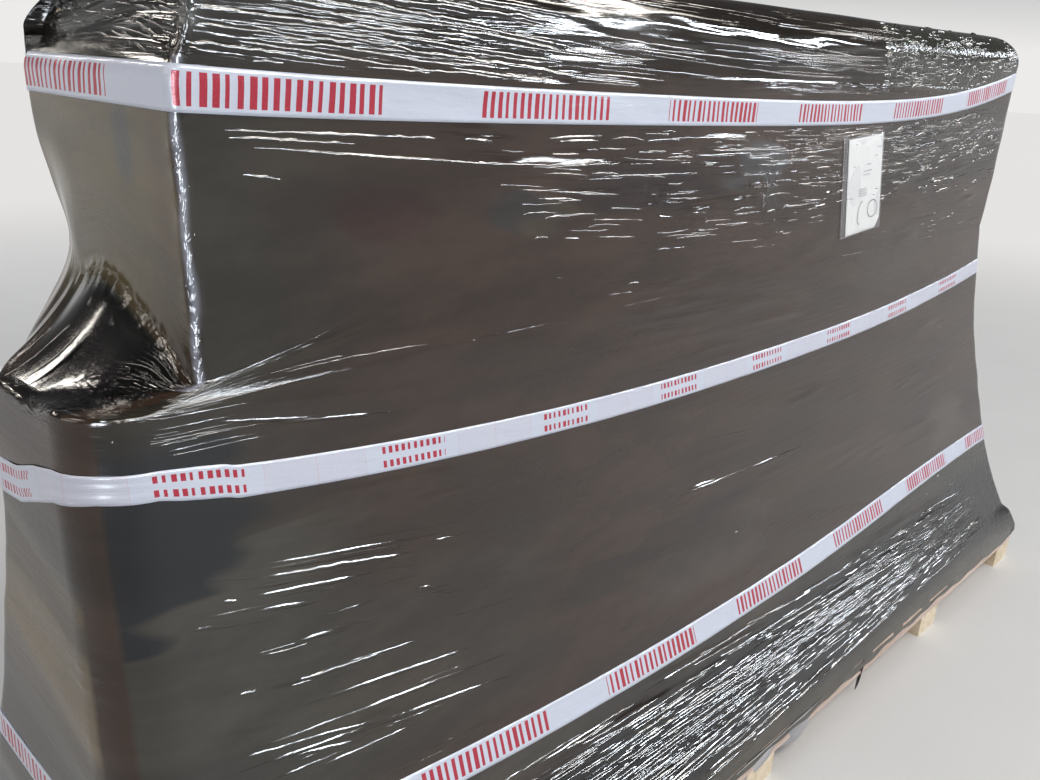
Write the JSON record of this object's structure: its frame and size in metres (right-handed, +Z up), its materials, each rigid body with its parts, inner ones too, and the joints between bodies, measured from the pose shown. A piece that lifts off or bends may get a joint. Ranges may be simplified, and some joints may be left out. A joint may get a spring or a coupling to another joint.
{
  "type": "shrink wrapped pallet load",
  "caption": "Tall long load of goods on a low wooden pallet under a glossy black stretch film hood, bound with printed tape, with a document pouch on its front.",
  "frame": {"origin": "on the floor under the middle of the pallet", "axes": "+X along the pallet to the end away from the step, -Y is the front with the pouch, +Z up"},
  "size_m": [2.8066, 0.8666, 1.5853],
  "materials": {
    "black_film": "glossy",
    "printed_tape": "satin",
    "clear_pouch": "glossy",
    "paper_sheet": "matte",
    "board_wood": "matte",
    "block_wood": "matte",
    "carton": "matte"
  },
  "bodies": {
    "root": {"foot_block_front_1": "block_wood", "foot_block_front_2": "block_wood", "foot_block_front_3": "block_wood", "foot_block_front_4": "block_wood", "foot_block_front_5": "block_wood", "bearer_front": "board_wood", "foot_block_middle_1": "block_wood", "foot_block_middle_2": "block_wood", "foot_block_middle_3": "block_wood", "foot_block_middle_4": "block_wood", "foot_block_middle_5": "block_wood", "bearer_middle": "board_wood", "foot_block_rear_1": "block_wood", "foot_block_rear_2": "block_wood", "foot_block_rear_3": "block_wood", "foot_block_rear_4": "block_wood", "foot_block_rear_5": "block_wood", "bearer_rear": "board_wood", "deck_board_01": "board_wood", "deck_board_02": "board_wood", "deck_board_03": "board_wood", "deck_board_04": "board_wood", "deck_board_05": "board_wood", "deck_board_06": "board_wood", "deck_board_07": "board_wood", "deck_board_08": "board_wood", "deck_board_09": "board_wood", "deck_board_10": "board_wood", "deck_board_11": "board_wood", "deck_board_12": "board_wood", "deck_board_13": "board_wood", "deck_board_14": "board_wood", "deck_board_15": "board_wood", "deck_board_16": "board_wood", "lower_tier": "carton", "middle_tier": "carton", "upper_tier": "carton", "stretch_film": "black_film", "tape_band_top": "printed_tape", "tape_band_middle": "printed_tape", "tape_band_bottom": "printed_tape", "document_pouch": "clear_pouch", "delivery_sheet": "paper_sheet"}
  },
  "joints": []
}
